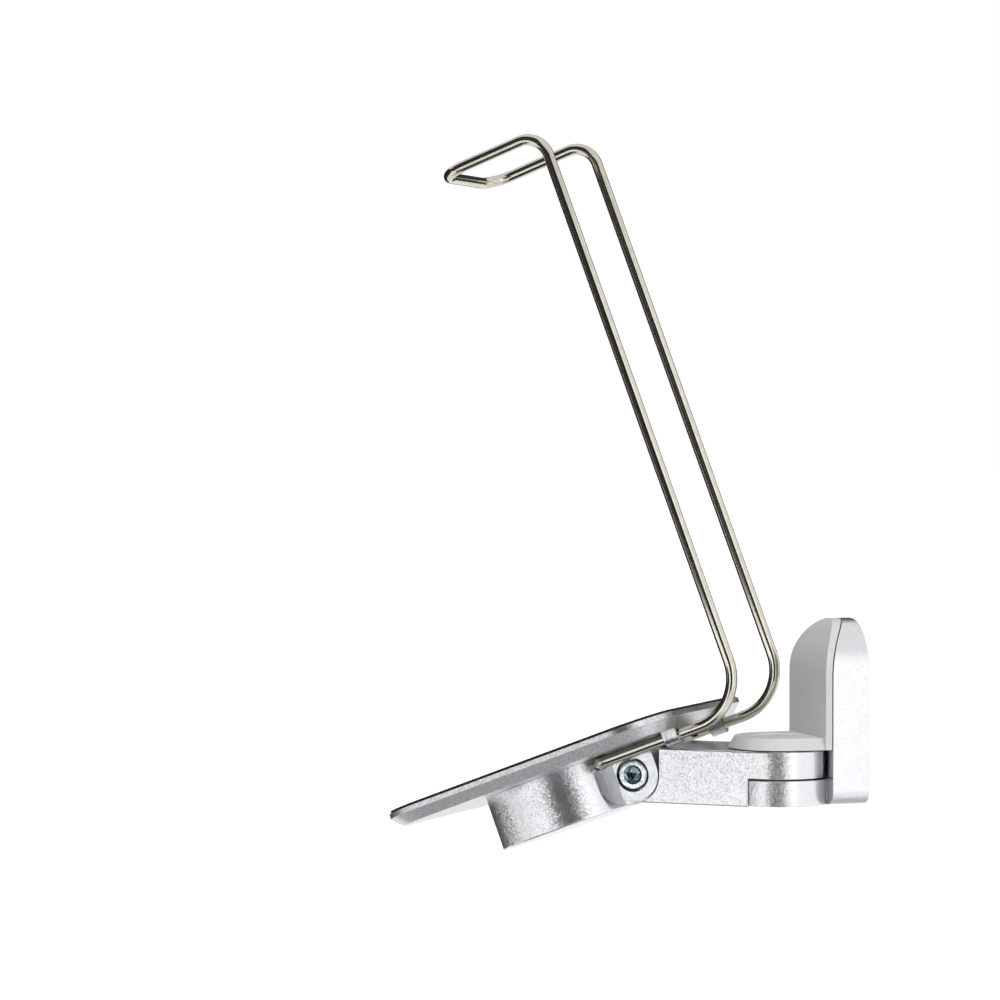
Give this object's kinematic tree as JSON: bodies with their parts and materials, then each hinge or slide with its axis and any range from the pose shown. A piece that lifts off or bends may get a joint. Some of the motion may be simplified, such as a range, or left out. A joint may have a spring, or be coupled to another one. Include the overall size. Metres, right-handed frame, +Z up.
{
  "type": "speaker wall bracket",
  "caption": "Wall bracket for a small loudspeaker: arched wall plate, swivel arm, tilting head, base plate and wire retaining frame.",
  "frame": {"origin": "centre of the two wall screw holes, on the back face of the wall plate", "axes": "+Z up, +Y into the wall, so the bracket reaches out along -Y; +X to the right when seen from the room"},
  "size_m": [0.1078, 0.1253, 0.2056],
  "materials": {
    "silver_casting": "die casting sprayed with fine-grained silver paint",
    "cover_plastic": "light grey moulding, smooth and matt",
    "satin_plate": "satin",
    "black_pad": "thin matt sheet",
    "polished_wire": "polished stainless steel wire",
    "clip_steel": "brushed strip",
    "zinc_screw": "bright zinc plate with a blue tint",
    "friction_nylon": "plain nylon"
  },
  "bodies": {
    "wall_mount": {"wall_plate": "silver_casting", "wall_cover": "cover_plastic", "swivel_bolt": "zinc_screw", "swivel_spring_washer": "zinc_screw", "swivel_washer": "zinc_screw", "swivel_nut": "zinc_screw", "swivel_friction_washer": "friction_nylon"},
    "arm": {"swivel_arm": "silver_casting"},
    "head": {"tilt_head": "silver_casting", "tilt_bolt": "zinc_screw", "tilt_nut": "zinc_screw", "tilt_washer_near": "friction_nylon", "tilt_washer_far": "friction_nylon", "base_plate": "satin_plate", "base_pad": "black_pad", "plate_screws": "zinc_screw", "wire_clip_near": "clip_steel", "wire_clip_far": "clip_steel", "clip_screws": "zinc_screw", "retaining_wire": "polished_wire"}
  },
  "joints": [
    {"name": "swivel", "type": "hinge", "parent": "wall_mount", "child": "arm", "pos_m": [0, -0.0216, -0.027], "axis": [0, 0, 1], "range_deg": [-1.6, 78.4]},
    {"name": "tilt", "type": "hinge", "parent": "arm", "child": "head", "pos_m": [-0.02398, -0.05185, -0.027], "axis": [0.7837, -0.6211, 0], "range_deg": [-6.8, 14.2]}
  ]
}
